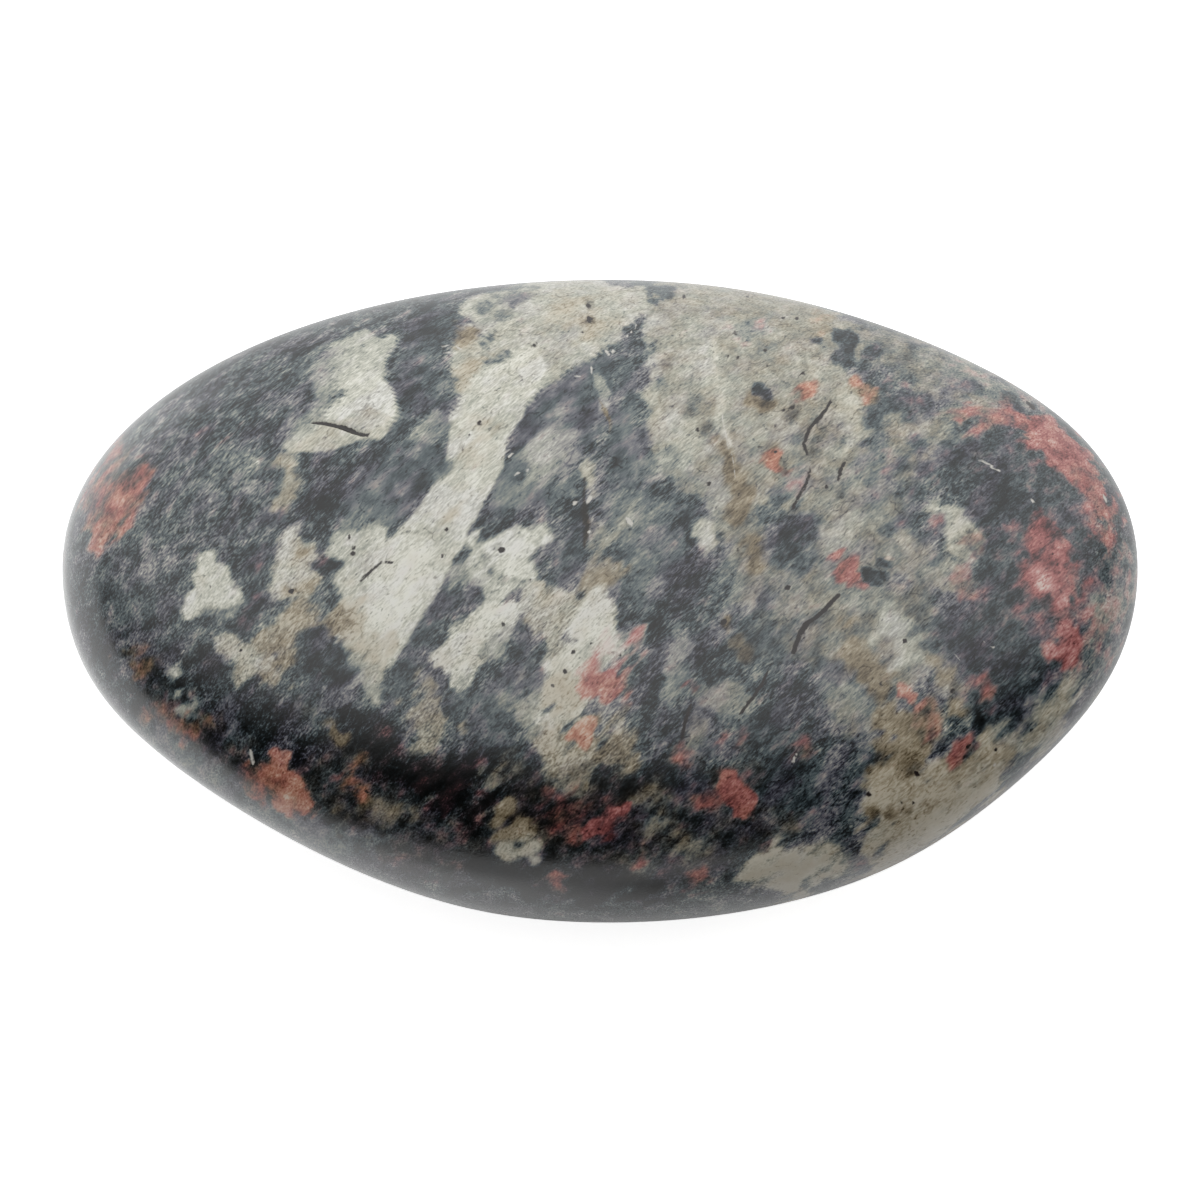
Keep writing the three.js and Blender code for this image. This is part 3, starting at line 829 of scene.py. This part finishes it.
# %% Specks
SPECK_SCALE = 0.7
SPECKS = (
    (486, 392, 2.2), (494, 391, 2.8), (487, 404, 2.0), (482, 424, 2.8), (472, 436, 2.6), (447, 530, 3.2),
    (443, 556, 3.0), (350, 535, 2.4), (356, 545, 2.6), (356, 551, 4.0), (503, 552, 4.4), (529, 580, 2.8),
    (502, 624, 2.4), (574, 653, 2.6), (593, 646, 2.0), (564, 670, 3.0), (553, 684, 2.4), (622, 656, 2.4),
    (588, 303, 3.2), (588, 316, 4.6), (583, 329, 2.6), (512, 377, 2.0), (543, 352, 2.0), (784, 317, 2.6),
    (797, 318, 2.6), (806, 328, 2.0), (735, 333, 3.0), (726, 355, 2.6), (735, 356, 2.6), (711, 345, 2.2),
    (691, 342, 2.4), (681, 333, 2.4), (686, 298, 2.4), (706, 314, 1.8), (736, 293, 2.0), (748, 297, 2.4),
    (802, 374, 3.4), (796, 379, 2.2), (764, 349, 3.0), (767, 344, 2.2), (766, 364, 2.4), (697, 397, 2.4),
    (662, 388, 2.8), (696, 430, 2.6), (760, 448, 2.4), (774, 451, 2.4), (781, 456, 2.0), (826, 486, 2.8),
    (788, 588, 4.0), (735, 551, 2.2), (712, 485, 3.4), (724, 622, 4.4), (792, 410, 4.0), (784, 411, 2.4),
    (209, 587, 2.0), (226, 585, 1.8), (291, 590, 4.6), (238, 650, 3.0), (470, 784, 3.4), (368, 792, 3.4),
    (906, 642, 4.0), (882, 684, 4.0), (875, 690, 3.4), (914, 575, 2.4), (916, 775, 4.0), (870, 794, 4.0),
    (900, 801, 2.4), (913, 801, 2.4), (956, 690, 4.0), (968, 744, 3.6), (965, 756, 3.4), (996, 746, 3.6),
)
for across, down, half in SPECKS:
    scratch("crack", (across, down, SPECK_SCALE * half))
print("specks:", len(SPECKS))

# %% White chips and scratches
CHIPS = (
    ((441, 346, 1.6), (452, 344, 1.4)), ((455, 341, 1.6), (473, 337, 1.4)),
    ((442, 352, 1.2), (455, 351, 1.2)), ((458, 345, 1.4), (465, 349, 1.4)),
    ((604, 348, 1.6), (609, 354, 2.2), (616, 350, 2.0)),
    ((566, 374, 1.6), (574, 378, 1.6), (581, 380, 1.4)), ((592, 366, 1.4), (591, 376, 1.6)),
    ((536, 460, 2.2), (541, 458, 2.0)), ((509, 458, 1.6), (514, 454, 1.4)),
    ((525, 471, 1.8), (528, 469, 1.4)), ((514, 477, 1.4), (518, 473, 1.4)), ((589, 476, 2.2),),
    ((576, 502, 2.4), (580, 501, 1.6)),
    ((714, 336, 0.8), (716, 362, 0.9), (715, 384, 0.8), (721, 412, 0.9), (725, 440, 0.9), (737, 480, 0.8)),
    ((631, 521, 3.0), (634, 526, 2.4)), ((605, 509, 2.0),), ((640, 500, 2.0),),
    ((592, 498, 3.0), (590, 502, 2.4)), ((589, 531, 2.6),),
    ((977, 459, 1.4), (988, 465, 2.2), (1000, 472, 1.6)), ((1025, 493, 1.4), (1037, 505, 1.8)),
    ((1100, 494, 1.6), (1106, 502, 1.6)), ((175, 650, 1.4), (179, 648, 1.4)),
    ((182, 657, 1.2), (187, 653, 1.4)), ((791, 763, 1.8), (795, 754, 1.6)),
    ((983, 642, 1.2), (989, 649, 1.4), (1001, 643, 1.2)), ((955, 652, 1.4), (962, 665, 1.4)),
    ((252, 750, 1.6), (254, 762, 1.8)), ((646, 312, 1.4), (630, 330, 1.6), (616, 345, 1.4)),
    ((596, 348, 1.0), (580, 362, 1.0)), ((992, 764, 1.6), (998, 758, 1.8)),
)
for chip in CHIPS:
    scratch("chip", *chip)
print("chips:", len(CHIPS))

# %% [markdown]
# Attributes carry the fields to the material: one number for each corner, under the field's own name.

# %% Store the fields
fields = {"light": light, "rosy": rosy, "rusty": rusty, "fibrous": fibrous, **fine}
for name, values in fields.items():
    attribute = laid_mesh.attributes.new(name, "FLOAT", "POINT")
    attribute.data.foreach_set("value", values.astype(np.float32))
print("means:", {name: round(float(np.mean(values)), 3) for name, values in fields.items()})

# %% [markdown]
# The slit in the pale pebble is an open fissure, not a colour, so its corners are pressed into the skin.

# %% Press the slit in
SLIT_DEPTH = 0.00035
SLIT_BANK = 3.0  # pixels over which its sides slope
SLIT_OPEN = 0.6

slit_near, slit_inside = stroke_depth(SLIT, DEEPEST)
pressed = np.clip(slit_inside / SLIT_BANK + SLIT_OPEN, 0, 1) * (hidden[slit_near] == 0)
corners[slit_near] -= facing[slit_near] * (SLIT_DEPTH * pressed)[:, None]
laid_mesh.vertices.foreach_set("co", corners.reshape(-1))
laid_mesh.update()
print("pressed corners:", int(np.count_nonzero(pressed)))

# %% [markdown]
# ## The mineral material
# One material holds all the minerals. Its tone is the painted light, moved up and down by noise at the
# sizes of the fibres, mottles and clouds. Each kind of rock is a short ramp of colours along that tone, and
# the painted fields say how much of each kind shows. The fibres of the rock all lean the same way, so most
# of the noise is read in a frame that is turned to that lean and stretched along it.

# %% Node helpers
material = bpy.data.materials.new("rhodonite")
material.use_nodes = True
tree = material.node_tree
shader = tree.nodes["Principled BSDF"]


def plug(value, socket):
    """Link a socket, or set a plain value."""
    if isinstance(value, bpy.types.NodeSocket):
        tree.links.new(value, socket)
    else:
        socket.default_value = value


def maths(operation, *values):
    """The result of one sum with sockets or numbers."""
    node = tree.nodes.new("ShaderNodeMath")
    node.operation = operation
    for value, socket in zip(values, node.inputs):
        plug(value, socket)
    return node.outputs[0]


def grain(place, size_mm, detail=2.0, roughness=0.55):
    """Noise from 0 to 1 whose lumps are about a size in millimetres."""
    node = tree.nodes.new("ShaderNodeTexNoise")
    plug(place, node.inputs["Vector"])
    node.inputs["Scale"].default_value = 1 / size_mm
    node.inputs["Detail"].default_value = detail
    node.inputs["Roughness"].default_value = roughness
    return node.outputs["Fac"]


def ramp(value, *stops):
    """Colours along a value: each stop is a place from 0 to 1 and a linear colour."""
    node = tree.nodes.new("ShaderNodeValToRGB")
    plug(value, node.inputs["Fac"])
    elements = node.color_ramp.elements
    while len(elements) < len(stops):
        elements.new(0.5)
    for element, (place, colour) in zip(elements, stops):
        element.position = place
        element.color = (*colour, 1.0)
    return node.outputs["Color"]


def cut(value, low, high):
    """A smooth step from 0 at low to 1 at high."""
    node = tree.nodes.new("ShaderNodeMapRange")
    node.interpolation_type = "SMOOTHSTEP"
    plug(value, node.inputs["Value"])
    node.inputs["From Min"].default_value = low
    node.inputs["From Max"].default_value = high
    return node.outputs["Result"]


def layer(share, under, over):
    """One colour over another."""
    node = tree.nodes.new("ShaderNodeMix")
    node.data_type = "RGBA"
    plug(share, node.inputs[MIX_SHARE])
    plug(under, node.inputs[MIX_UNDER])
    plug(over, node.inputs[MIX_OVER])
    return node.outputs[MIX_RESULT]


print("material:", material.name)

# %% Places to read noise at
FIBRE_STRETCH = (3.2, 0.8, 1.2)
DRAWN_STRETCH = (1.6, 0.85, 1.2)
EVEN = (1.0, 1.0, 1.0)

own_place = tree.nodes.new("ShaderNodeTexCoord").outputs["Object"]


def stretched(place, lean, stretch):
    """A place in millimetres, turned to a lean and squeezed along it so that noise comes out stretched."""
    node = tree.nodes.new("ShaderNodeMapping")
    node.vector_type = "TEXTURE"
    node.inputs["Rotation"].default_value = (0.0, 0.0, lean)
    node.inputs["Scale"].default_value = [side / MM_PER_M for side in stretch]
    plug(place, node.inputs["Vector"])
    return node.outputs["Vector"]


def field(name):
    """A number that the skin carries at each corner."""
    node = tree.nodes.new("ShaderNodeAttribute")
    node.attribute_type = "GEOMETRY"
    node.attribute_name = name
    return node.outputs["Fac"]


fibre_place = stretched(own_place, FIBRE_LEAN, FIBRE_STRETCH)
drawn_place = stretched(own_place, FIBRE_LEAN, DRAWN_STRETCH)
even_place = stretched(own_place, 0.0, EVEN)
print("fibre lean, degrees:", round(math.degrees(FIBRE_LEAN)))

# %% Noise at the sizes of the grains
fibres = grain(fibre_place, size_mm=0.21, detail=2.0, roughness=0.6)
mottles = grain(drawn_place, size_mm=1.4, detail=2.5, roughness=0.5)
clouds = grain(even_place, size_mm=5.0, detail=2.0)
tints = grain(drawn_place, size_mm=2.8, detail=3.0)
stains = grain(even_place, size_mm=2.0, detail=3.0, roughness=0.6)
pepper = grain(drawn_place, size_mm=0.4, detail=1.0)
print("noises: fibres, mottles, clouds, tints, stains, pepper")

# %% Tone
FIBRE_CONTRAST = 1.1
MOTTLE_CONTRAST = 0.8
CLOUD_CONTRAST = 0.4
ROSE_CONTRAST = 0.8
HAIR_CONTRAST = 0.14
PALE_RANGE = (0.50, 0.86)
PALE_CALM = (0.1, 0.55)  # for fibres and for mottles
BLACK_RANGE = (0.0, 0.26)
STROKE_MOTTLE = 0.55  # the share of the mottles that the smoothest strokes keep
PEPPER_CONTRAST = (0.15, 0.06)  # dark specks and light flecks
DARK_PEPPER = (0.64, 0.74)
LIGHT_PEPPER = (0.27, 0.36)
HAIR_SIZE_MM = 5.0
HAIR_WIDTH = 0.012
HAIR_PLACES = (0.5, 0.58)
NOISE_MIDDLE = 0.5


def hairlines(place, size_mm, width):
    """Thin winding lines, drawn where a noise passes through its middle value."""
    gap = maths("ABSOLUTE", maths("SUBTRACT", grain(place, size_mm, detail=3.0), NOISE_MIDDLE))
    return maths("SUBTRACT", 1.0, cut(gap, 0.0, width))


def swing(noise_value, contrast, share):
    """How far a noise moves the tone up or down."""
    offset = maths("SUBTRACT", noise_value, NOISE_MIDDLE)
    return maths("MULTIPLY", maths("MULTIPLY", offset, contrast), share)


light_field = field("light")
rosy_field = field("rosy")
fibre_field = field("fibrous")
pale_share = cut(light_field, *PALE_RANGE)
fibre_calm, mottle_calm = (maths("MULTIPLY_ADD", pale_share, -calm, 1.0) for calm in PALE_CALM)
unrest = swing(fibres, FIBRE_CONTRAST, maths("MULTIPLY", fibre_field, fibre_calm))
mottle_share = maths("MULTIPLY_ADD", fibre_field, 1 - STROKE_MOTTLE, STROKE_MOTTLE)
mottle_share = maths("MULTIPLY", mottle_share, mottle_calm)
unrest = maths("ADD", unrest, swing(mottles, MOTTLE_CONTRAST, mottle_share))
unrest = maths("ADD", unrest, swing(clouds, CLOUD_CONTRAST, mottle_calm))
unrest = maths("ADD", unrest, swing(stains, ROSE_CONTRAST, rosy_field))
tone = maths("MULTIPLY_ADD", unrest, cut(light_field, *BLACK_RANGE), light_field)
tone = maths("MULTIPLY_ADD", cut(pepper, *DARK_PEPPER), -PEPPER_CONTRAST[0], tone)
salt = maths("MULTIPLY", maths("SUBTRACT", 1.0, cut(pepper, *LIGHT_PEPPER)), fibre_field)
tone = maths("MULTIPLY_ADD", salt, PEPPER_CONTRAST[1], tone)
hairs = hairlines(drawn_place, HAIR_SIZE_MM, HAIR_WIDTH)
hair_share = maths("MULTIPLY", hairs, cut(stains, *HAIR_PLACES))
tone = maths("MULTIPLY_ADD", hair_share, -HAIR_CONTRAST, tone)
print("tone: light with fibres, mottles, clouds, specks and hairlines")

# %% Colours along the tone
green_rock = ramp(
    tone, (0.12, (0.001, 0.0015, 0.0015)), (0.25, (0.006, 0.009, 0.010)),
    (0.36, (0.021, 0.030, 0.035)), (0.46, (0.064, 0.087, 0.096)),
    (0.56, (0.136, 0.166, 0.170)), (0.66, (0.246, 0.262, 0.232)), (0.76, (0.382, 0.392, 0.330)),
    (0.86, (0.56, 0.558, 0.475)), (0.98, (0.78, 0.775, 0.69)),
)
violet_rock = ramp(
    tone, (0.12, (0.001, 0.001, 0.0015)), (0.25, (0.007, 0.007, 0.010)),
    (0.36, (0.027, 0.027, 0.039)), (0.46, (0.076, 0.080, 0.101)),
    (0.56, (0.150, 0.154, 0.174)), (0.66, (0.256, 0.250, 0.248)), (0.76, (0.382, 0.375, 0.342)),
    (0.86, (0.55, 0.545, 0.495)), (0.98, (0.77, 0.765, 0.715)),
)
rust_rock = ramp(
    tone, (0.20, (0.010, 0.007, 0.004)), (0.36, (0.050, 0.036, 0.020)), (0.48, (0.128, 0.098, 0.058)),
    (0.60, (0.238, 0.192, 0.122)), (0.72, (0.368, 0.312, 0.218)), (0.86, (0.56, 0.505, 0.395)),
)
rose_rock = ramp(
    tone, (0.20, (0.014, 0.005, 0.006)), (0.36, (0.078, 0.022, 0.022)), (0.48, (0.195, 0.057, 0.055)),
    (0.58, (0.325, 0.106, 0.099)), (0.68, (0.455, 0.180, 0.166)), (0.80, (0.58, 0.33, 0.30)),
    (0.92, (0.68, 0.56, 0.51)),
)
coral_rock = ramp(
    tone, (0.20, (0.014, 0.006, 0.004)), (0.36, (0.080, 0.031, 0.018)), (0.48, (0.200, 0.080, 0.046)),
    (0.58, (0.335, 0.128, 0.078)), (0.68, (0.465, 0.205, 0.134)), (0.80, (0.60, 0.36, 0.26)),
    (0.92, (0.69, 0.57, 0.47)),
)
print("ramps: green, violet, rust, rose, coral")

# %% Mix them
CRACK_COLOUR = (0.016, 0.011, 0.010, 1.0)
CHIP_COLOUR = (0.60, 0.58, 0.53, 1.0)
DRIFT_RANGE = (0.44, 0.62)


def share_of(name, wobble, wander, low, high):
    """Where a field shows: its value, moved by noise, as a smooth share from low to high."""
    moved = maths("MULTIPLY_ADD", maths("SUBTRACT", wobble, NOISE_MIDDLE), wander, field(name))
    return cut(moved, low, high)


drift = cut(tints, *DRIFT_RANGE)
colour = layer(drift, green_rock, violet_rock)
rust_share = share_of("rusty", stains, wander=1.0, low=0.05, high=1.0)
colour = layer(rust_share, colour, rust_rock)
red_rock = layer(rust_share, rose_rock, coral_rock)
rose_share = share_of("rosy", mottles, wander=1.4, low=0.16, high=0.95)
colour = layer(rose_share, colour, red_rock)
crack_share = share_of("crack", pepper, wander=3.0, low=-0.9, high=0.5)
chip_share = share_of("chip", pepper, wander=2.0, low=-0.1, high=1.2)
colour = layer(crack_share, colour, CRACK_COLOUR)
colour = layer(chip_share, colour, CHIP_COLOUR)
plug(colour, shader.inputs["Base Color"])
print("colour layers: drift, rust, rose, cracks, chips")

# %% Polish
STONE_IOR = 1.64
POLISH = (0.16, 0.26)
POLISH_NOISE = (0.3, 0.7)
BUMP_STRENGTH = 0.05
BUMP_DISTANCE = 0.0002

gloss = tree.nodes.new("ShaderNodeMapRange")
plug(mottles, gloss.inputs["Value"])
gloss.inputs["From Min"].default_value, gloss.inputs["From Max"].default_value = POLISH_NOISE
gloss.inputs["To Min"].default_value, gloss.inputs["To Max"].default_value = POLISH
plug(gloss.outputs["Result"], shader.inputs["Roughness"])
shader.inputs["IOR"].default_value = STONE_IOR

bump = tree.nodes.new("ShaderNodeBump")
bump.inputs["Strength"].default_value = BUMP_STRENGTH
bump.inputs["Distance"].default_value = BUMP_DISTANCE
plug(maths("SUBTRACT", fibres, crack_share), bump.inputs["Height"])
plug(bump.outputs["Normal"], shader.inputs["Normal"])
laid_mesh.materials.clear()
laid_mesh.materials.append(material)
print("polish:", POLISH, "index:", STONE_IOR)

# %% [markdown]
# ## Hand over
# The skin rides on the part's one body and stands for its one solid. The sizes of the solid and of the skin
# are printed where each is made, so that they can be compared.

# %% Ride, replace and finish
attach(skin, "root")
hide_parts("stone")
